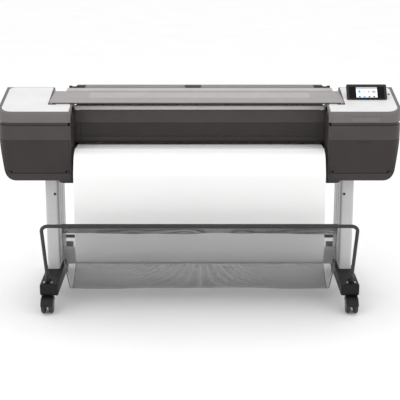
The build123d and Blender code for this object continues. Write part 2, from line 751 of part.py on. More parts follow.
# ---- write every piece ---------------------------------------------------------------------
def main():
    os.makedirs("parts", exist_ok=True)
    shell = module_shell()
    pairs = {
        "housing": side_housing(shell), "ink_door": ink_door(shell),
        "leg": leg(), "foot": foot(),
    }
    for name, right in pairs.items():
        write(f"right_{name}", right)
        write(f"left_{name}", mirrored(right))
    for place, stem_y in CASTER_STEMS.items():
        hood, wheels = caster(CASTER_X, stem_y, -1)
        for side, turn in (("right", lambda s: s), ("left", mirrored)):
            write(f"{place}_{side}_caster_hood", turn(hood))
            write(f"{place}_{side}_caster_wheels", turn(wheels))
    write("lower_skirts", both(lower_skirt(shell)))
    write("right_top_shell", top_shell(SHOULDERS["right"]) - button_hole())
    write("left_top_shell", mirrored(top_shell(SHOULDERS["left"])))
    panels = [top_panel(SHOULDERS["right"]) - button_hole(), mirrored(top_panel(SHOULDERS["left"]))]
    write("top_panels", group(panels))
    write("inner_cheeks", both(inner_cheek()))
    singles = (
        window_frame, window_pane, top_frame, top_cover, front_lower_cover,
        output_guide, platen, rear_panel, chassis, drive_roller, pinch_rollers, carriage_rail,
        carriage, printheads, carriage_belt, drive_pulley, idler_pulley,
        carriage_motor, ink_cartridges, service_station, paper_sheet, media_roll, spindle,
        spindle_hubs, spindle_supports, roll_cover, roll_cover_caps, electronics_box,
        power_inlet, power_switch, display_housing, display_glass, display_bracket,
        power_button, cross_beam, rear_rod, basket_frame, basket_fabric, screws,
    )
    for piece in singles:
        write(piece.__name__, piece())


main()
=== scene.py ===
import json
from math import cos, pi, radians, sin

import bmesh
import bpy
from bpy.props import FloatProperty, FloatVectorProperty, IntProperty, PointerProperty
from bpy.types import Operator, Panel, PropertyGroup
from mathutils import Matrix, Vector

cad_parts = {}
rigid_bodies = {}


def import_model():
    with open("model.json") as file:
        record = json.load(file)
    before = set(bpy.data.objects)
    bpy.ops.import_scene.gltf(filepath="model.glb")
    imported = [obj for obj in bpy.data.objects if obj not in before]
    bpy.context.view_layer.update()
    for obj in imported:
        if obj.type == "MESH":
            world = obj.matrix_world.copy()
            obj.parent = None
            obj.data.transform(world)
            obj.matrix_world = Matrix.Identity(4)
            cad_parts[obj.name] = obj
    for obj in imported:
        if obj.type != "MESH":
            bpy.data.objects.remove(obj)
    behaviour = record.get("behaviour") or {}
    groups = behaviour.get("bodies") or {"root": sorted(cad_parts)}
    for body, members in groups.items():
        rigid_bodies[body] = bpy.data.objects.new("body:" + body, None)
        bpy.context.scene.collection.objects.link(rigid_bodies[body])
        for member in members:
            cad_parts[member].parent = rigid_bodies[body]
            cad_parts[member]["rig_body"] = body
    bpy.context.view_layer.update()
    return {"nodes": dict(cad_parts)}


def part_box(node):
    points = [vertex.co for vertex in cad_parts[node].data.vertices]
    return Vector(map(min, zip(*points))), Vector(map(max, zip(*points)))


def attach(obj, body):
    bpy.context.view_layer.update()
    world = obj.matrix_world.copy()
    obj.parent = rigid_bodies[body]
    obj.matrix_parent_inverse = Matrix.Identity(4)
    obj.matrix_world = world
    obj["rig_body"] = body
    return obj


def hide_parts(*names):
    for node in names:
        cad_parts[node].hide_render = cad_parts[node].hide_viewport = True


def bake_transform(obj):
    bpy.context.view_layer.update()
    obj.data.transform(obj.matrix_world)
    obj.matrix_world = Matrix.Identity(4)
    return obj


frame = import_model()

bl_info = {
    "name": "Large format plotter",
    "version": (1, 0, 0),
    "blender": (4, 5, 0),
    "location": "3D View > Sidebar > Plotter",
    "description": "Dresses the packed plotter: casings, window, display, sheet, basket and stand",
    "category": "Object",
}

MM = 0.001
SIDES = {"left": -1, "right": 1}
X_AXIS, Y_AXIS, Z_AXIS = Vector((1, 0, 0)), Vector((0, 1, 0)), Vector((0, 0, 1))


# ---- settings ------------------------------------------------------------------------------
def colour(name, description, default):
    return FloatVectorProperty(
        name=name, description=description, subtype="COLOR", size=3, min=0, max=1, default=default
    )


def length(name, description, default):
    return FloatProperty(name=name, description=description, unit="LENGTH", default=default, min=0)


class PlotterColours(PropertyGroup):
    casing: colour("Casing", "Dark casings", (0.055, 0.0455, 0.0455))
    # the doors' darker tone is painted shade: the band above them faces more up into the light
    door: colour("Door", "Ink doors, a shade darker than the casings", (0.0315, 0.0245, 0.0245))
    window: colour("Window", "Smoked part of the front window", (0.033, 0.0262, 0.0262))
    trim: colour("Trim", "Top shells, in a warm grey", (0.142, 0.127, 0.127))
    cover: colour("Cover", "Top cover and the strip over the window", (0.312, 0.290, 0.289))
    panel: colour("Panel", "White inserts on the end modules", (0.72, 0.72, 0.72))
    stand: colour("Stand", "Legs and cross beam", (0.56, 0.56, 0.56))
    feet: colour("Feet", "Feet of the stand", (0.011, 0.011, 0.011))
    tube: colour("Tube", "Basket frame", (0.030, 0.030, 0.031))
    mesh: colour("Mesh", "Knitted basket mesh", (0.045, 0.045, 0.046))
    paper: colour("Paper", "Printing web", (0.875, 0.875, 0.87))
    roll_cover: colour("Roll cover", "Cover over the media roll", (0.17, 0.17, 0.17))


class PlotterSizes(PropertyGroup):
    casing_edge: length("Casing edge", "Rounding of the edges of moulded casings", 1.6 * MM)
    metal_edge: length("Metal edge", "Rounding of the edges of metal pieces", 1.0 * MM)
    hem_drop: length("Hem drop", "How far the loose hem hangs under the basket bar", 24 * MM)
    hem_wave: length("Hem wave", "Depth of the waves along the loose hem", 3.5 * MM)
    mesh_pitch: length("Mesh pitch", "Distance between the threads of the basket mesh", 2.6 * MM)
    mesh_cover: FloatProperty(
        name="Mesh cover", description="Share of the mesh that is thread", default=0.33, min=0, max=1
    )
    sheet_steps: IntProperty(name="Sheet steps", description="Columns in the web's mesh", default=48, min=8)


# ---- materials -----------------------------------------------------------------------------
NOISE_LOW, NOISE_HIGH = 0.3, 0.7      # nearly all the values of a noise texture lie between these
WAVE_SCALE = 0.314                    # a wave texture of this scale repeats once in a metre


def shade(tone, factor):
    """A lighter or darker tone of a colour."""
    return [min(1, c * factor) for c in tone]


class Finish:
    """A node material under construction, with short ways to add the nodes used here."""

    def __init__(self, name, base, roughness, metallic=0.0):
        self.material = bpy.data.materials.new(name)
        self.material.use_nodes = True
        self.tree = self.material.node_tree
        self.shader = self.tree.nodes["Principled BSDF"]
        self.base = tuple(base)
        self.shader.inputs["Base Color"].default_value = (*self.base, 1)
        self.shader.inputs["Roughness"].default_value = roughness
        self.shader.inputs["Metallic"].default_value = metallic
        self.place = self.add("ShaderNodeTexCoord").outputs["Object"]

    def add(self, kind):
        return self.tree.nodes.new(kind)

    def link(self, output, socket):
        self.tree.links.new(output, socket)

    def stretched(self, scale):
        mapping = self.add("ShaderNodeMapping")
        mapping.inputs["Scale"].default_value = scale
        self.link(self.place, mapping.inputs["Vector"])
        return mapping.outputs["Vector"]

    def noise(self, size, detail=3.0, place=None):
        """Noise whose features are about size metres across."""
        texture = self.add("ShaderNodeTexNoise")
        texture.inputs["Scale"].default_value = 1 / size
        texture.inputs["Detail"].default_value = detail
        self.link(place or self.place, texture.inputs["Vector"])
        return texture.outputs["Fac"]

    def ramp(self, value, low, high):
        node = self.add("ShaderNodeValToRGB")
        node.color_ramp.elements[0].position = NOISE_LOW
        node.color_ramp.elements[1].position = NOISE_HIGH
        node.color_ramp.elements[0].color = (*low, 1)
        node.color_ramp.elements[1].color = (*high, 1)
        self.link(value, node.inputs["Fac"])
        return node.outputs["Color"]

    def mottle(self, size, amount, place=None):
        """Slight unevenness of the colour."""
        tones = shade(self.base, 1 - amount), shade(self.base, 1 + amount)
        self.link(self.ramp(self.noise(size, place=place), *tones), self.shader.inputs["Base Color"])

    def spread(self, value, start, end, low=0.0, high=1.0):
        """Maps the values from start to end onto low to high."""
        node = self.add("ShaderNodeMapRange")
        node.inputs["From Min"].default_value = start
        node.inputs["From Max"].default_value = end
        node.inputs["To Min"].default_value = low
        node.inputs["To Max"].default_value = high
        self.link(value, node.inputs["Value"])
        return node.outputs["Result"]

    def vary_roughness(self, size, low, high, place=None):
        uneven = self.spread(self.noise(size, place=place), NOISE_LOW, NOISE_HIGH, low, high)
        self.link(uneven, self.shader.inputs["Roughness"])

    def bump(self, value, depth, strength):
        node = self.add("ShaderNodeBump")
        node.inputs["Strength"].default_value = strength
        node.inputs["Distance"].default_value = depth
        self.link(value, node.inputs["Height"])
        self.link(node.outputs["Normal"], self.shader.inputs["Normal"])


def once(make):
    """Keeps one material per name."""
    def kept(name, *values, **named):
        return bpy.data.materials.get(name) or make(name, *values, **named)
    return kept


@once
def moulded(name, base, roughness, grain=0.9 * MM, depth=0.05 * MM, shine=0.25):
    """Moulded plastic with a fine spark-eroded grain."""
    finish = Finish(name, base, roughness)
    finish.mottle(0.12, 0.04)
    finish.vary_roughness(0.05, roughness - 0.04, roughness + 0.06)
    finish.bump(finish.noise(grain, 2), depth, 0.5)
    finish.shader.inputs["Specular IOR Level"].default_value = shine
    return finish.material


@once
def two_tone(name, upper, lower, seam):
    """Moulded plastic whose part under the seam height is darker: the smoked tint, and painted shade for a
    lower facet that faces less up.
    """
    finish = Finish(name, lower, 0.36)
    height = finish.add("ShaderNodeSeparateXYZ")
    finish.link(finish.place, height.inputs["Vector"])
    tones = finish.add("ShaderNodeMix")
    tones.data_type = "RGBA"
    above = finish.spread(height.outputs["Z"], seam - 0.3 * MM, seam + 0.3 * MM)
    finish.link(above, tones.inputs["Factor"])
    cloud = finish.noise(0.12)
    for socket, tone in (("A", lower), ("B", upper)):
        entry = next(i for i in tones.inputs if i.name == socket and i.type == "RGBA")
        finish.link(finish.ramp(cloud, shade(tone, 0.95), shade(tone, 1.05)), entry)
    blended = next(o for o in tones.outputs if o.type == "RGBA")
    finish.link(blended, finish.shader.inputs["Base Color"])
    finish.vary_roughness(0.05, 0.32, 0.42)
    finish.bump(finish.noise(0.9 * MM, 2), 0.04 * MM, 0.4)
    finish.shader.inputs["Specular IOR Level"].default_value = 0.25
    return finish.material


@once
def gloss(name, base, roughness, coat, shine=0.5):
    """Polished plastic or glass with faint wiping marks."""
    finish = Finish(name, base, roughness)
    finish.mottle(0.2, 0.05)
    finish.vary_roughness(0.03, roughness * 0.7, roughness * 1.5, finish.stretched((1, 4, 4)))
    finish.bump(finish.noise(0.09, 1), 0.04 * MM, 0.3)
    finish.shader.inputs["Specular IOR Level"].default_value = shine
    finish.shader.inputs["Coat Weight"].default_value = coat
    finish.shader.inputs["Coat Roughness"].default_value = 0.06
    return finish.material


@once
def powder_coat(name, base, roughness, shine=0.5):
    """Baked powder paint with its orange peel."""
    finish = Finish(name, base, roughness)
    finish.shader.inputs["Specular IOR Level"].default_value = shine
    finish.mottle(0.15, 0.035)
    finish.vary_roughness(0.02, roughness - 0.05, roughness + 0.07)
    finish.bump(finish.noise(1.6 * MM, 1), 0.06 * MM, 0.45)
    return finish.material


@once
def metal(name, base, roughness, along=(0.03, 1, 1)):
    """Bare metal drawn or brushed along one direction."""
    finish = Finish(name, base, roughness, 1.0)
    lines = finish.stretched(along)
    finish.mottle(1.2 * MM, 0.08, lines)
    finish.vary_roughness(0.8 * MM, roughness - 0.08, roughness + 0.1, lines)
    finish.bump(finish.noise(0.7 * MM, 2, lines), 0.02 * MM, 0.5)
    return finish.material


@once
def rubber(name, base, roughness):
    """Dull rubber or dense cloth with a coarse surface."""
    finish = Finish(name, base, roughness)
    finish.mottle(0.03, 0.15)
    finish.vary_roughness(0.012, roughness - 0.08, roughness + 0.1)
    finish.bump(finish.noise(0.6 * MM, 3), 0.08 * MM, 0.6)
    return finish.material


@once
def paper(name, base):
    """Matte coated paper with faint fibre."""
    finish = Finish(name, base, 0.82)
    finish.mottle(0.4, 0.012)
    finish.bump(finish.noise(1.1 * MM, 4, finish.stretched((1, 0.35, 0.35))), 0.02 * MM, 0.35)
    finish.shader.inputs["Specular IOR Level"].default_value = 0.2
    return finish.material


@once
def knitted_mesh(name, base, pitch, cover):
    """Open knitted mesh: crossing threads with clear holes between them."""
    finish = Finish(name, base, 0.75)
    finish.mottle(0.02, 0.2)
    finish.shader.inputs["Sheen Weight"].default_value = 0.25
    finish.shader.inputs["Sheen Roughness"].default_value = 0.5
    uv = finish.add("ShaderNodeUVMap").outputs["UV"]
    threads = []
    for direction in ("X", "Y"):
        wave = finish.add("ShaderNodeTexWave")
        wave.bands_direction = direction
        wave.wave_profile = "SIN"
        wave.inputs["Scale"].default_value = WAVE_SCALE / pitch
        wave.inputs["Distortion"].default_value = 0.6
        wave.inputs["Detail"].default_value = 0.0
        finish.link(uv, wave.inputs["Vector"])
        threads.append(wave.outputs["Fac"])
    crossing = finish.add("ShaderNodeMath")
    crossing.operation = "MAXIMUM"
    finish.link(threads[0], crossing.inputs[0])
    finish.link(threads[1], crossing.inputs[1])
    # max of two waves passes 1 - (1 - cover) ** 0.5 of its way up at the wanted share of thread
    level = 0.5 - 0.5 * cos(pi * (1 - cover) ** 0.5)
    thread = finish.spread(crossing.outputs["Value"], level - 0.1, level + 0.1)
    finish.link(thread, finish.shader.inputs["Alpha"])
    finish.bump(crossing.outputs["Value"], 0.3 * MM, 0.6)
    return finish.material


@once
def lit(name, base, strength):
    """Back-lit screen colour with a faint unevenness."""
    finish = Finish(name, base, 0.25)
    glow = finish.ramp(finish.noise(0.6 * MM, 0), shade(base, 0.93), base)
    finish.link(glow, finish.shader.inputs["Emission Color"])
    finish.shader.inputs["Emission Strength"].default_value = strength
    return finish.material


def colours():
    return bpy.context.scene.plotter_colours


def sizes():
    return bpy.context.scene.plotter_sizes


# ---- finishes that several pieces share ----------------------------------------------------
def black_moulding():
    return moulded("black_moulding", (0.022, 0.021, 0.021), 0.5)


def casing_plastic():
    return moulded("casing_plastic", colours().casing, 0.4)


def trim_plastic():
    return moulded("trim_plastic", colours().trim, 0.4)


def zinc_plated_sheet():
    return metal("zinc_plated_sheet", (0.55, 0.56, 0.58), 0.38)


def matte_paper():
    return paper("matte_paper", colours().paper)


# ---- mesh helpers --------------------------------------------------------------------------
def mm(*values):
    return Vector([v * MM for v in values])


def add_piece(name, mesh, material, body, smooth=35):
    """Links a finished mesh as a piece of the plotter."""
    piece = bpy.data.objects.new(name, mesh)
    bpy.context.scene.collection.objects.link(piece)
    mesh.materials.clear()
    mesh.materials.append(material)
    mesh.shade_smooth()
    mesh.set_sharp_from_angle(angle=radians(smooth))
    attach(piece, body)
    return piece


def mesh_from(name, bm):
    mesh = bpy.data.meshes.new(name)
    bmesh.ops.recalc_face_normals(bm, faces=bm.faces)
    bm.to_mesh(mesh)
    bm.free()
    return mesh


def baked(piece):
    """Applies every modifier of a piece."""
    bpy.context.view_layer.update()
    graph = bpy.context.evaluated_depsgraph_get()
    mesh = bpy.data.meshes.new_from_object(piece.evaluated_get(graph))
    piece.modifiers.clear()
    piece.data = mesh
    return piece


def thickened(piece, thickness):
    """Gives a thin surface its thickness, half of it to each side."""
    solid = piece.modifiers.new("thickness", "SOLIDIFY")
    solid.thickness = thickness
    solid.offset = 0
    return baked(piece)


def body_of(node):
    return frame["nodes"][node]["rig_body"]


def softened(node, width, material, segments=2, angle=32):
    """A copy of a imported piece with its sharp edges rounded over."""
    source = frame["nodes"][node].data
    mesh = bpy.data.meshes.new(node + "_skin")
    mesh.from_pydata([v.co[:] for v in source.vertices], [], [p.vertices[:] for p in source.polygons])
    bm = bmesh.new()
    bm.from_mesh(mesh)
    bmesh.ops.remove_doubles(bm, verts=bm.verts, dist=0.005 * MM)
    bmesh.ops.dissolve_limit(bm, angle_limit=radians(1), verts=bm.verts, edges=bm.edges)
    bm.to_mesh(mesh)
    bm.free()
    piece = add_piece(node + "_skin", mesh, material, body_of(node), 30)
    bevel = piece.modifiers.new("rounded edges", "BEVEL")
    bevel.width = width
    bevel.segments = segments
    bevel.limit_method = "ANGLE"
    bevel.angle_limit = radians(angle)
    bevel.harden_normals = True
    bevel.use_clamp_overlap = True
    baked(piece)
    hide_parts(node)
    return piece


def paint(node, material):
    """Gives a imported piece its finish."""
    mesh = frame["nodes"][node].data
    mesh.materials.clear()
    mesh.materials.append(material)


def rounded_path(corners, step, turns=7):
    """Points along a path of (u, v, radius) corners, with an arc at each inner corner."""
    points = [Vector(corners[0][:2])]
    for before, corner, after in zip(corners, corners[1:], corners[2:]):
        here = Vector(corner[:2])
        back = (Vector(before[:2]) - here).normalized()
        ahead = (Vector(after[:2]) - here).normalized()
        half = back.angle(ahead) / 2
        reach = corner[2] / (sin(half) / cos(half))
        start, end = here + back * reach, here + ahead * reach
        centre = here + (back + ahead).normalized() * (corner[2] / sin(half))
        for i in range(turns + 1):
            spoke = (start - centre).lerp(end - centre, i / turns)
            points.append(centre + spoke.normalized() * corner[2])
    points.append(Vector(corners[-1][:2]))
    filled = [points[0]]
    for point in points[1:]:
        run = point - filled[-1]
        count = max(1, int(run.length / step))
        first = filled[-1]
        filled += [first + run * (i + 1) / count for i in range(count)]
    return filled


def sheet_mesh(name, half_width, points, columns, offset, thickness):
    """A sheet that runs across X and follows points in the YZ plane, with UVs in metres."""
    bm = bmesh.new()
    uv = bm.loops.layers.uv.new("UVMap")
    along = [0.0]
    for a, b in zip(points, points[1:]):
        along.append(along[-1] + (b - a).length)
    rows = []
    for point, distance in zip(points, along):
        row = []
        for i in range(columns + 1):
            across = -half_width + 2 * half_width * i / columns
            move = offset(across, distance, along[-1]) if offset else Vector((0, 0, 0))
            row.append(bm.verts.new(Vector((across, point.x, point.y)) + move))
        rows.append(row)
    for j in range(len(rows) - 1):
        for i in range(columns):
            corners = ((i, j), (i + 1, j), (i + 1, j + 1), (i, j + 1))
            face = bm.faces.new([rows[line][column] for column, line in corners])
            for loop, (column, line) in zip(face.loops, corners):
                loop[uv].uv = (2 * half_width * column / columns, along[line])
    mesh = bpy.data.meshes.new(name)
    bm.to_mesh(mesh)
    bm.free()
    carrier = bpy.data.objects.new(name + "_carrier", mesh)
    bpy.context.scene.collection.objects.link(carrier)
    mesh = thickened(carrier, thickness).data
    bpy.data.objects.remove(carrier)
    return mesh


def rounded_plate(bm, centre, right, up, width, height, corner, thickness, bevel=0.25 * MM, turns=4):
    """Adds a plate with rounded corners standing on the plane through centre."""
    out = right.cross(up)
    reach_x, reach_y = width / 2 - corner, height / 2 - corner
    rim = []
    for quarter, (sx, sy) in enumerate(((1, 1), (-1, 1), (-1, -1), (1, -1))):
        for i in range(turns + 1):
            angle = pi / 2 * (quarter + i / turns)
            rim.append((sx * reach_x + cos(angle) * corner, sy * reach_y + sin(angle) * corner))
    rings = []
    for inset, lift in ((0, 0), (0, thickness - bevel), (bevel, thickness)):
        shrink_x = 1 - 2 * inset / width
        shrink_y = 1 - 2 * inset / height
        rings.append([
            bm.verts.new(centre + right * (x * shrink_x) + up * (y * shrink_y) + out * lift)
            for x, y in rim
        ])
    for low, high in zip(rings, rings[1:]):
        for i in range(len(rim)):
            k = (i + 1) % len(rim)
            bm.faces.new((low[i], low[k], high[k], high[i]))
    bm.faces.new(rings[-1])
    bm.faces.new(rings[0][::-1])


def plates(name, specs, material, body):
    """One piece of rounded plates, each given as the arguments of rounded_plate."""
    bm = bmesh.new()
    for spec in specs:
        rounded_plate(bm, *spec)
    return add_piece(name, mesh_from(name, bm), material, body)


def lathe(bm, profile, centre, steps=40):
    """Adds a surface of revolution round X from (distance along the axis, radius) pairs."""
    side = X_AXIS.orthogonal().normalized()
    other = X_AXIS.cross(side)
    rings = []
    for along, radius in profile:
        ring = []
        for i in range(steps):
            spoke = side * cos(2 * pi * i / steps) + other * sin(2 * pi * i / steps)
            ring.append(bm.verts.new(centre + X_AXIS * along + spoke * max(radius, 0.01 * MM)))
        rings.append(ring)
    for low, high in zip(rings, rings[1:]):
        for i in range(steps):
            k = (i + 1) % steps
            bm.faces.new((low[i], low[k], high[k], high[i]))
    bm.faces.new(rings[-1])
    bm.faces.new(rings[0][::-1])


def run_operator(work):
    """Wraps a making function as an operator's execute."""
    def execute(self, context):
        work()
        return {"FINISHED"}
    return execute


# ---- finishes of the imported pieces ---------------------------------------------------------
def dress_packed_pieces():
    finishes = {
        zinc_plated_sheet(): ("chassis", "rear_panel", "carriage_rail", "carriage_motor"),
        metal("ground_steel", (0.66, 0.66, 0.67), 0.2, (1, 0.05, 1)): (
            "spindle", "drive_pulley", "idler_pulley"),
        metal("blackened_screw", (0.05, 0.05, 0.05), 0.35): ("screws",),
        black_moulding(): ("platen", "carriage", "printheads", "service_station", "spindle_hubs",
                           "display_bracket", "power_inlet", "power_switch", "power_button"),
        moulded("ink_supply", (0.06, 0.06, 0.066), 0.4): ("ink_cartridges",),
        rubber("ground_rubber", (0.05, 0.05, 0.05), 0.6): ("drive_roller", "pinch_rollers"),
        rubber("toothed_belt", (0.03, 0.03, 0.03), 0.75): ("carriage_belt",),
        matte_paper(): ("media_roll",),
        gloss("tube_enamel", colours().tube, 0.28, 0.0, 0.3): ("basket_frame",),
        powder_coat("rod_paint", colours().tube, 0.45): ("rear_rod",),
    }
    for material, nodes in finishes.items():
        for node in nodes:
            paint(node, material)


class PLOTTER_OT_packed_pieces(Operator):
    """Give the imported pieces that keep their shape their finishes"""
    bl_idname = "plotter.packed_pieces"
    bl_label = "Packed Pieces"
    execute = run_operator(dress_packed_pieces)


# ---- end modules ---------------------------------------------------------------------------
def make_casings():
    edge = sizes().casing_edge
    casing = casing_plastic()
    # painted shade: the doors are made darker than the brighter, upward facing band above them
    door = moulded("door_plastic", colours().door, 0.42)
    skirt = moulded("skirt_plastic", shade(colours().casing, 0.72), 0.42)
    cheek = moulded("cheek_plastic", shade(colours().casing, 0.8), 0.5)
    trim = trim_plastic()
    white = moulded("white_plastic", colours().panel, 0.35)
    for side in SIDES:
        softened(f"{side}_housing", edge, casing)
        softened(f"{side}_ink_door", edge * 0.6, door)
        softened(f"{side}_top_shell", edge * 1.2, trim, 3)
    softened("lower_skirts", edge, skirt)
    softened("top_panels", 0.6 * MM, white)
    softened("inner_cheeks", 0.8 * MM, cheek)


class PLOTTER_OT_casings(Operator):
    """Make the moulded casings of both end modules"""
    bl_idname = "plotter.casings"
    bl_label = "End Module Casings"
    execute = run_operator(make_casings)


RIB_X, RIB_WIDTH, RIB_LIFT = 577.0, 9.6, 1.4    # middle, width and height of the ribs beside the window, mm
TOP_RIB = [(-128.2, 863), (-128.2, 893), (-125, 901), (-118, 905.4), (-34, 923.2)]   # its path in YZ, mm
FRONT_RIB = [(-128.3, 782), (-128.3, 845)]
SCOOP_SIZE, SCOOP_INWARD = (74.0, 7.0), 8.0     # finger scoop's black plate of painted shade, and its distance from a door's middle, mm
SEAM_SHADE_START, SEAM_SHADE_SIZE = 580.0, (262.0, 3.0)     # inner end and size of the painted shade in the seam over a door, mm
BADGE_X, BADGE_Z, BADGE_SIZE = 736.0, 874.5, (130.0, 22.0)                           # blank badge, mm


def make_module_details():
    """Finger scoops in the doors and seams over them, as black plates of painted shade, ribs beside the window
    and a blank badge.
    """
    black = black_moulding()
    ribs = (
        ("top_rib", TOP_RIB, trim_plastic(), "taupe_casing"),
        ("front_rib", FRONT_RIB, casing_plastic(), "dark_casing"),
    )
    for side, sign in SIDES.items():
        low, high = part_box(f"{side}_ink_door")
        middle = (low.x + high.x) / 2
        # the scoop is a black plate of painted shade standing for the recess of the finger grip
        scoop = Vector((middle - sign * SCOOP_INWARD * MM, low.y + 0.2 * MM, high.z - 7 * MM))
        wide, tall = SCOOP_SIZE
        plates(f"{side}_door_scoop_shade", [(scoop, X_AXIS, Z_AXIS, wide * MM, tall * MM, 3.4 * MM, 0.5 * MM)],
               black, f"{side}_ink_door")
        for name, path, finish, slot in ribs:
            bm = bmesh.new()
            for start, end in zip(path, path[1:]):
                run = mm(0, end[0] - start[0], end[1] - start[1])
                centre = mm(sign * RIB_X, (start[0] + end[0]) / 2, (start[1] + end[1]) / 2)
                rounded_plate(bm, centre, X_AXIS, run.normalized(), RIB_WIDTH * MM, run.length + 0.8 * MM,
                              0.4 * MM, RIB_LIFT * MM)
            add_piece(f"{side}_{name}", mesh_from(name, bm), finish, "printer")
        # the seam is a black strip of painted shade standing for the gap over the door
        wide, tall = SEAM_SHADE_SIZE[0] * MM, SEAM_SHADE_SIZE[1] * MM
        seam = Vector((sign * (SEAM_SHADE_START * MM + wide / 2), low.y + 0.1 * MM, high.z + 1.6 * MM))
        plates(f"{side}_door_seam_shade", [(seam, X_AXIS, Z_AXIS, wide, tall, 1.2 * MM, 0.4 * MM, 0.1 * MM)],
               black, "printer")
    make_badge()


def make_badge():
    """Blank badge on the front of the right module."""
    centre = Vector((BADGE_X * MM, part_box("right_top_shell")[0].y, BADGE_Z * MM))
    wide, tall = BADGE_SIZE
    plates("blank_badge", [(centre, X_AXIS, Z_AXIS, wide * MM, tall * MM, 3 * MM, 1.3 * MM, 0.5 * MM)],
           gloss("badge_grey", (0.115, 0.108, 0.108), 0.3, 0.2), "printer")


class PLOTTER_OT_module_details(Operator):
    """Make the door scoops and seams, the ribs beside the window and the blank badge"""
    bl_idname = "plotter.module_details"
    bl_label = "End Module Details"
    execute = run_operator(make_module_details)


# ---- middle of the machine -----------------------------------------------------------------
WINDOW_SEAM = 828.0                                       # height where the window's darker part, smoked tint and painted shade, begins, mm


def make_covers():
    edge = sizes().casing_edge
    black = black_moulding()
    lower = moulded("lower_cover_plastic", shade(colours().casing, 0.75), 0.5)
    light = moulded("cover_plastic", colours().cover, 0.38)
    # painted light: the strip is 1.7 times as light as the cover it belongs to, against the lid's shade on it
    strip = moulded("strip_plastic", shade(colours().cover, 1.7), 0.38)
    # under the seam: the pane's smoked tint together with painted shade of the lower facet
    band = two_tone("window_plastic", colours().casing, colours().window, WINDOW_SEAM * MM)
    smoke = moulded("window_smoke", shade(colours().window, 0.9), 0.34, 30 * MM, 0.02 * MM, 0.2)
    softened("top_cover", edge * 1.3, light, 3)
    softened("top_frame", 0.6 * MM, strip)
    softened("window_frame", 0.7 * MM, band)
    softened("window_pane", 0.3 * MM, smoke)
    softened("output_guide", 0.6 * MM, lower)
    softened("front_lower_cover", 0.8 * MM, lower)
    softened("roll_cover", 0.6 * MM, moulded("roll_cover_plastic", colours().roll_cover, 0.42))
    softened("roll_cover_caps", 0.6 * MM, black)
    softened("spindle_supports", 0.8 * MM, black)
    softened("electronics_box", 0.6 * MM, zinc_plated_sheet())
    make_cover_inlay()
    make_window_highlights()
    make_cover_tab()


LID_FRONT, LID_BACK = (-30.0, 932.0), (151.0, 949.5)      # edges of the top cover's upper face, mm
LIP_SHADE_HEIGHT = 5.6                                          # dark strip of painted shade along its front edge, mm
INLAY_SIZE, INLAY_PLACE = (1015.0, 84.0), 0.61            # in mm, and as a share of the cover's depth
WINDOW_HIGHLIGHTS = ((28.75, 828.4, 1.8), (24.4, 758.5, 2.2))  # y, z and height of each painted highlight line, mm
GRIP_X = -31.0                                            # middle of the roll cover's grip, mm


def make_cover_inlay():
    """Slightly raised lighter field on the top cover, and a dark strip of painted shade along its front edge.
    """
    front, back = mm(0, *LID_FRONT), mm(0, *LID_BACK)
    slope = (back - front).normalized()
    centre = front.lerp(back, INLAY_PLACE) - X_AXIS.cross(slope) * 0.1 * MM
    field = moulded("inlay_plastic", shade(colours().cover, 1.24), 0.35)
    wide, tall = INLAY_SIZE
    plates("top_cover_inlay", [(centre, X_AXIS, slope, wide * MM, tall * MM, 12 * MM, 0.7 * MM, 0.4 * MM)],
           field, "top_cover")
    low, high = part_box("top_cover")
    middle = Vector(((low.x + high.x) / 2, low.y + 0.1 * MM, low.z + (LIP_SHADE_HEIGHT / 2 + 0.1) * MM))
    plates("top_cover_lip_shade", [
        (middle, X_AXIS, Z_AXIS, high.x - low.x - 36 * MM, LIP_SHADE_HEIGHT * MM, 1.5 * MM, 0.6 * MM)],
        casing_plastic(), "top_cover")


def make_window_highlights():
    """Painted highlights: bright strips along the edges over and under the smoked pane."""
    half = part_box("window_pane")[1].x
    # painted highlight colour, lighter than the window around it
    highlight_tone = moulded("window_edge", (0.105, 0.092, 0.092), 0.3)
    face = Vector((0, -4, 70)).normalized()
    specs = [(mm(0, y, z), X_AXIS, face, 2 * half, tall * MM, 0.8 * MM, 0.9 * MM)
             for y, z, tall in WINDOW_HIGHLIGHTS]
    plates("window_edge_highlights", specs, highlight_tone, "front_window")


def make_cover_tab():
    """Grip on the roll cover."""
    low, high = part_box("roll_cover")
    flat = Vector((GRIP_X * MM, low.y + 27 * MM, high.z - 0.2 * MM))
    upright = Vector((GRIP_X * MM, low.y + 0.1 * MM, high.z - 5 * MM))
    plates("roll_cover_grip", [
        (flat, X_AXIS, Y_AXIS, 78 * MM, 52 * MM, 6 * MM, 3 * MM, 1 * MM),
        (upright, X_AXIS, Z_AXIS, 70 * MM, 8 * MM, 2 * MM, 2 * MM, 0.6 * MM),
    ], black_moulding(), "roll_cover")


class PLOTTER_OT_covers(Operator):
    """Make the top cover, front window, lower cover and roll cover"""
    bl_idname = "plotter.covers"
    bl_label = "Covers"
    execute = run_operator(make_covers)


# ---- display -------------------------------------------------------------------------------
DISPLAY_FOOT = (14.2, 937.3)                              # lower edge of the glass, y and z, mm
DISPLAY_LEAN = radians(52)
SCREEN_X, SCREEN_WIDTH = 763.5, 96.0                      # middle and width of the lit screen, mm
SCREEN_LOW, SCREEN_HIGH = 10.0, 62.0                      # its edges along the glass from the foot, mm


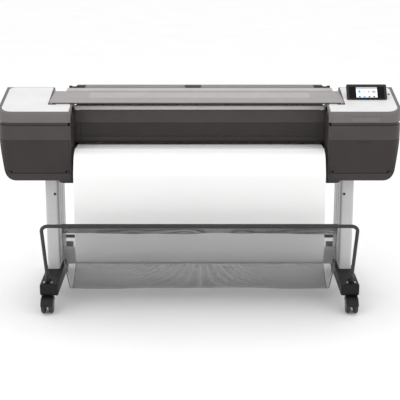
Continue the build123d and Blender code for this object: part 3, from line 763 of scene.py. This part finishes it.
def make_display():
    """Housing, glass and a lit screen of plain shapes."""
    housing = moulded("display_plastic", (0.030, 0.024, 0.023), 0.4, shine=0.2)
    glass = gloss("display_glass", (0.004, 0.004, 0.005), 0.1, 0.0, 0.12)
    softened("display_housing", 1.2 * MM, housing, 3)
    softened("display_glass", 0.4 * MM, glass)
    up = Vector((0, cos(DISPLAY_LEAN), sin(DISPLAY_LEAN)))
    out = X_AXIS.cross(up)
    foot = mm(0, *DISPLAY_FOOT)

    def glowing(name, specs, tint, strength=0.9):
        """Lit shapes given in mm as x, height along the glass, width, height, corner and lift."""
        shapes = []
        for x, along, wide, tall, corner, lift in specs:
            centre = foot + X_AXIS * x * MM + up * along * MM + out * (lift - 0.25) * MM
            shapes.append((centre, X_AXIS, up, wide * MM, tall * MM, corner * MM, 0.3 * MM, 0.1 * MM))
        plates(f"display_{name}", shapes, lit(f"screen_{tint[0]}", tint[1], strength), "display")

    middle, low, high = SCREEN_X, SCREEN_LOW, SCREEN_HIGH
    centre = (low + high) / 2
    levels = [(middle + 27 + 6 * i, centre + 2, 3.4, 7 + 3 * (i % 2), 0.8, 0.5) for i in range(3)]
    levels += [(middle + x, low + 4.5, 10, 7, 2, 0.25) for x in (-33, 11, 33)]
    glowing("screen", [(middle, centre, SCREEN_WIDTH, high - low, 2, 0)], ("pale", (0.57, 0.59, 0.61)), 1.0)
    glowing("bar", [(middle, high - 4.5, SCREEN_WIDTH, 7, 1.5, 0.25)], ("grey", (0.24, 0.24, 0.26)))
    glowing("keys", [(middle - 33, centre + 4, 11, 15, 4.5, 0.25), (middle - 11, low + 4.5, 11, 8, 3.5, 0.25)],
            ("blue", (0.05, 0.28, 0.66)))
    glowing("pale_key", [(middle - 11, centre + 4, 13, 13, 6.4, 0.25)], ("light", (0.36, 0.52, 0.64)))
    glowing("alert", [(middle + 10, centre + 3, 8, 9, 3.9, 0.25)], ("red", (0.60, 0.10, 0.13)))
    glowing("tile", [(middle + 33, centre + 4, 14, 18, 2, 0.25)], ("tile", (0.40, 0.44, 0.50)))
    glowing("levels", levels, ("dark", (0.09, 0.10, 0.13)), 0.8)


class PLOTTER_OT_display(Operator):
    """Make the tilting display with its lit screen"""
    bl_idname = "plotter.display"
    bl_label = "Display"
    execute = run_operator(make_display)


# ---- web -----------------------------------------------------------------------------------
WEB_PATH = [                                              # y, z and corner radius along the web, mm
    (258, 943.55, 0), (196, 943.55, 16), (196, 722, 20), (60, 722, 40), (-95, 733.5, 14),
    (-150, 716, 60), (-185, 640, 70), (-185, 270, 90), (-158, 226, 40), (-127, 208, 0),
]


FREE_END = 480.0                                          # length of the web that hangs free, mm


def make_web():
    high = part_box("paper_sheet")[1]
    points = rounded_path([(y * MM, z * MM, r * MM) for y, z, r in WEB_PATH], 10 * MM)

    def relax(x, distance, total):
        """The free end of the sheet is a little uneven across its width."""
        free = max(0.0, (distance - (total - FREE_END * MM)) / (FREE_END * MM))
        ripple = sin(x * 5.2 + 0.7) * 1.6 + sin(x * 11.3 + distance * 4) * 0.7
        return Vector((0, ripple * free * MM, 0))

    mesh = sheet_mesh("web", high.x, points, sizes().sheet_steps, relax, 0.35 * MM)
    web = add_piece("printed_sheet", mesh, matte_paper(), "printer", 60)
    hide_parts("paper_sheet")


class PLOTTER_OT_web(Operator):
    """Make the sheet that comes out of the machine and hangs into the basket"""
    bl_idname = "plotter.web"
    bl_label = "Printed Sheet"
    execute = run_operator(make_web)


# ---- basket --------------------------------------------------------------------------------
BAR = (-339.5, 452.0)                                     # middle of the basket's front bar, y and z, mm
SLEEVE_R = 9.6                                            # radius of the sleeve round it, mm
HEM_COVER = 0.72                                          # share of the gathered hem that is thread
SLING_PATH = [                                            # y, z and corner radius along the sling, mm
    (-338.9, 443.0, 0), (-309.5, 271, 180), (-204.5, 158, 160), (-153.5, 95, 140), (-46.5, 42, 110),
    (82, 112, 60), (190, 122, 40), (211, 203, 0),
]


def make_basket():
    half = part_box("basket_fabric")[1].x
    cloth = knitted_mesh("knitted_mesh", colours().mesh, sizes().mesh_pitch, sizes().mesh_cover)
    points = rounded_path([(y * MM, z * MM, r * MM) for y, z, r in SLING_PATH], 12 * MM)

    def sag(x, distance, total):
        """Soft billows that die out at the side hems, the bar and the rod."""
        share = distance / total
        hold = sin(pi * min(1, max(0, share))) * (1 - (x / half) ** 6)
        wave = sin(x * 6.1 + 1.1) * 2.2 + sin(x * 13.7 + share * 9) * 1.3
        return Vector((0, wave * 0.5 * hold, wave * hold)) * MM

    mesh = sheet_mesh("sling", half, points, 72, sag, 0.7 * MM)
    sling = add_piece("basket_sling", mesh, cloth, "printer", 60)
    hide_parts("basket_fabric")
    sling.parent = None
    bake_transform(sling)
    make_sleeve(half)
    make_side_hems(half, points)


def make_sleeve(half):
    """Sleeve round the front bar with a loose wavy hem under it."""
    sleeve = [
        Vector((BAR[0] + SLEEVE_R * sin(a), BAR[1] + SLEEVE_R * cos(a))) * MM
        for a in [2 * pi * i / 24 for i in range(25)]
    ]
    drop = sizes().hem_drop
    wave = sizes().hem_wave

    def hang(x, distance, total):
        free = distance / total
        ripple = sin(x * 31) + 0.5 * sin(x * 53 + 1.3) + 0.4 * sin(x * 17.7)
        lower = sin(x * 9.3) * 2.0 + sin(x * 23) * 1.3
        return Vector((0, ripple * wave * free * 0.55, lower * free * MM))

    weave = rubber("sleeve_cloth", (0.028, 0.028, 0.029), 0.8)
    tube = add_piece("basket_sleeve", sheet_mesh("sleeve", half, sleeve, 60, None, 0.8 * MM), weave,
                     "basket_frame", 60)
    top = mm(BAR[0] - 7.2, BAR[1] - 6.6)
    fall = [top + Vector((-1.2 * MM, -drop)) * (i / 8) for i in range(9)]
    folded = knitted_mesh("gathered_mesh", colours().mesh, sizes().mesh_pitch, HEM_COVER)
    hem = add_piece("basket_hem", sheet_mesh("hem", half, fall, 240, hang, 0.9 * MM), folded,
                    "basket_frame", 60)


def make_side_hems(half, points):
    """Bound edges down both sides of the sling."""
    tape = rubber("edge_tape", (0.11, 0.11, 0.111), 0.8)
    for side, sign in SIDES.items():
        bm = bmesh.new()
        inner, outer = sign * (half - 3 * MM), sign * half
        rows = [[bm.verts.new((x, p.x, p.y)) for x in (inner, outer)] for p in points]
        for a, b in zip(rows, rows[1:]):
            bm.faces.new((a[0], a[1], b[1], b[0]))
        piece = add_piece(f"basket_{side}_binding", mesh_from("binding", bm), tape,
                          "printer", 60)
        thickened(piece, 1.6 * MM)
        piece.parent = None
        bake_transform(piece)


class PLOTTER_OT_basket(Operator):
    """Make the mesh sling, its sleeve, hem and bound edges"""
    bl_idname = "plotter.basket"
    bl_label = "Basket"
    execute = run_operator(make_basket)


# ---- stand ---------------------------------------------------------------------------------
ARM_SLOT_X, ARM_SLOT_Y = 684.0, -205.0                    # middle of an arm's slot in a foot, mm
WHEEL_FACE = 26.0                                         # outer face of a wheel from the caster's middle, mm
LEG_CHANNELS = ((11, 7), (34, 4), (92, 5), (150, 5))      # distance from a leg's front and width, mm


def make_stand():
    edge = sizes().metal_edge
    stand = powder_coat("stand_paint", colours().stand, 0.4)
    feet = powder_coat("feet_paint", colours().feet, 0.45, 0.16)
    black = moulded("caster_plastic", (0.013, 0.013, 0.0135), 0.4, shine=0.2)
    tyre = rubber("wheel_tyre", (0.018, 0.018, 0.0185), 0.55)
    for side in SIDES:
        softened(f"{side}_leg", edge, stand)
        softened(f"{side}_foot", edge * 1.4, feet, 3)
        for place in ("front", "rear"):
            softened(f"{place}_{side}_caster_hood", 0.9 * MM, black)
            make_wheel_faces(f"{place}_{side}", tyre)
    softened("cross_beam", edge, stand)
    make_stand_details()


def make_stand_details():
    """Painted shade for the channels in the inner faces of the legs, and bright clips beside the basket's
    pivots.
    """
    # dark plates of painted shade, laid flat where the channels are
    dark = moulded("channel_shadow", (0.02, 0.02, 0.02), 0.6)
    clip = metal("clip_steel", (0.75, 0.75, 0.75), 0.22)
    for side, sign in SIDES.items():
        low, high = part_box(f"{side}_leg")
        inner = low.x if sign > 0 else high.x
        tall, middle = (high.z - low.z) - 30 * MM, (high.z + low.z) / 2
        across, out = -Y_AXIS * sign, -X_AXIS * sign
        channels = []
        for y, wide in LEG_CHANNELS:
            centre = Vector((inner - out.x * 0.3 * MM, low.y + y * MM, middle))
            channels.append((centre, across, Z_AXIS, wide * MM, tall, 1.4 * MM, 0.7 * MM, 0.2 * MM))
        plates(f"{side}_leg_channel_shadows", channels, dark, "printer")
        slot = sign * ARM_SLOT_X * MM
        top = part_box(f"{side}_foot")[1].z
        clips = [(Vector((slot + step * MM, ARM_SLOT_Y * MM, top - 0.4 * MM)), X_AXIS, Y_AXIS,
                  9 * MM, 9 * MM, 4 * MM, 2.2 * MM, 0.8 * MM) for step in (-17, 17)]
        plates(f"{side}_pivot_clips", clips, clip, "printer")


def make_wheel_faces(caster, tyre):
    """Hub caps and axle ends on the outer faces of a caster's two wheels."""
    node = f"{caster}_caster_wheels"
    paint(node, tyre)
    low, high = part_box(node)
    centre = (low + high) / 2
    face = WHEEL_FACE
    cap = moulded("hub_grey", (0.10, 0.10, 0.103), 0.35)
    axle = metal("axle_steel", (0.7, 0.7, 0.7), 0.25)
    for finish, name, profile in (
        (cap, "hub_caps", ((face - 1.1, 26.0), (face + 0.6, 26.0), (face + 1.2, 25.0), (face + 0.9, 20.0),
                           (face + 0.2, 18.5), (face + 0.2, 9.0), (face + 1.6, 7.6))),
        (axle, "axle_ends", ((face + 0.8, 5.4), (face + 2.4, 5.4), (face + 3.0, 4.6))),
    ):
        bm = bmesh.new()
        for direction in (1, -1):
            lathe(bm, [(along * direction * MM, radius * MM) for along, radius in profile], centre)
        add_piece(f"{caster}_{name}", mesh_from(name, bm), finish, f"{caster}_wheels")


class PLOTTER_OT_stand(Operator):
    """Make the legs, feet, cross beam and casters"""
    bl_idname = "plotter.stand"
    bl_label = "Stand"
    execute = run_operator(make_stand)


# ---- stage ---------------------------------------------------------------------------------
LIGHTS = (                            # name, place, target and size in metres, power in watts
    ("key", (-2.4, -3.2, 3.4), (0, 0, 0.7), (2.6, 1.6), 20),
    ("fill", (3.0, -2.6, 2.2), (0, 0, 0.6), (2.2, 2.0), 10),
    ("top", (0, 0.4, 4.2), (0, 0, 0), (4.5, 2.5), 18),
    ("low", (0, -3.6, 0.35), (0, 0, 0.35), (3.2, 0.7), 7),
)
CAMERA_PLACE, CAMERA_DIP = (0.002, -4.4, 1.849), 12.4     # metres, and degrees under level
LENS, SENSOR_WIDTH, LENS_SHIFT = 89.1, 36, -0.22          # mm, mm and share of the frame
FLOOR_REACH, FLOOR_DROP = 40, 0.0005                      # half the floor's size, and its gap, metres


def add_light(name, place, target, size, power):
    data = bpy.data.lights.new(name, "AREA")
    data.shape = "RECTANGLE"
    data.size, data.size_y = size
    data.energy = power
    lamp = bpy.data.objects.new(name, data)
    bpy.context.scene.collection.objects.link(lamp)
    lamp.location = place
    lamp.rotation_euler = (Vector(target) - Vector(place)).to_track_quat("-Z", "Y").to_euler()


def make_stage():
    floor_finish = Finish("studio_floor", (0.985, 0.985, 0.985), 0.9)
    floor_finish.mottle(0.5, 0.01)
    bm = bmesh.new()
    bmesh.ops.create_grid(bm, x_segments=4, y_segments=4, size=FLOOR_REACH)
    floor = bpy.data.objects.new("studio_floor", mesh_from("studio_floor", bm))
    floor.data.materials.append(floor_finish.material)
    bpy.context.scene.collection.objects.link(floor)
    floor.location.z = -FLOOR_DROP
    world = bpy.data.worlds.new("studio")
    world.use_nodes = True
    sky = world.node_tree.nodes["Background"]
    sky.inputs["Color"].default_value = (1, 1, 1, 1)
    sky.inputs["Strength"].default_value = 1.0
    bpy.context.scene.world = world
    bpy.context.scene.view_settings.view_transform = "Standard"
    for light in LIGHTS:
        add_light(*light)
    data = bpy.data.cameras.new("camera")
    data.lens = LENS
    data.sensor_width = SENSOR_WIDTH
    data.shift_y = LENS_SHIFT
    data.clip_end = 100
    camera = bpy.data.objects.new("camera", data)
    bpy.context.scene.collection.objects.link(camera)
    camera.location = CAMERA_PLACE
    camera.rotation_euler = (radians(90 - CAMERA_DIP), 0, 0)
    bpy.context.scene.camera = camera


class PLOTTER_OT_stage(Operator):
    """Make the floor, the lights and the camera"""
    bl_idname = "plotter.stage"
    bl_label = "Stage"
    execute = run_operator(make_stage)


# ---- add-on --------------------------------------------------------------------------------
OPERATORS = (
    PLOTTER_OT_stage, PLOTTER_OT_packed_pieces, PLOTTER_OT_casings, PLOTTER_OT_module_details,
    PLOTTER_OT_covers, PLOTTER_OT_display, PLOTTER_OT_web, PLOTTER_OT_basket, PLOTTER_OT_stand,
)


class PLOTTER_PT_parts(Panel):
    """Lists the plotter's makers"""
    bl_idname = "PLOTTER_PT_parts"
    bl_label = "Large Format Plotter"
    bl_space_type = "VIEW_3D"
    bl_region_type = "UI"
    bl_category = "Plotter"

    def draw(self, context):
        for group in (context.scene.plotter_sizes, context.scene.plotter_colours):
            for name in group.__annotations__:
                self.layout.prop(group, name)
        for operator in OPERATORS:
            self.layout.operator(operator.bl_idname)


CLASSES = (PlotterColours, PlotterSizes, *OPERATORS, PLOTTER_PT_parts)


def register():
    for cls in CLASSES:
        bpy.utils.register_class(cls)
    bpy.types.Scene.plotter_colours = PointerProperty(type=PlotterColours)
    bpy.types.Scene.plotter_sizes = PointerProperty(type=PlotterSizes)


def unregister():
    del bpy.types.Scene.plotter_sizes
    del bpy.types.Scene.plotter_colours
    for cls in reversed(CLASSES):
        bpy.utils.unregister_class(cls)


def main():
    register()
    for name in ("stage", "packed_pieces", "casings", "module_details", "covers", "display", "web",
                 "basket", "stand"):
        getattr(bpy.ops.plotter, name)()


if __name__ == "__main__":
    main()
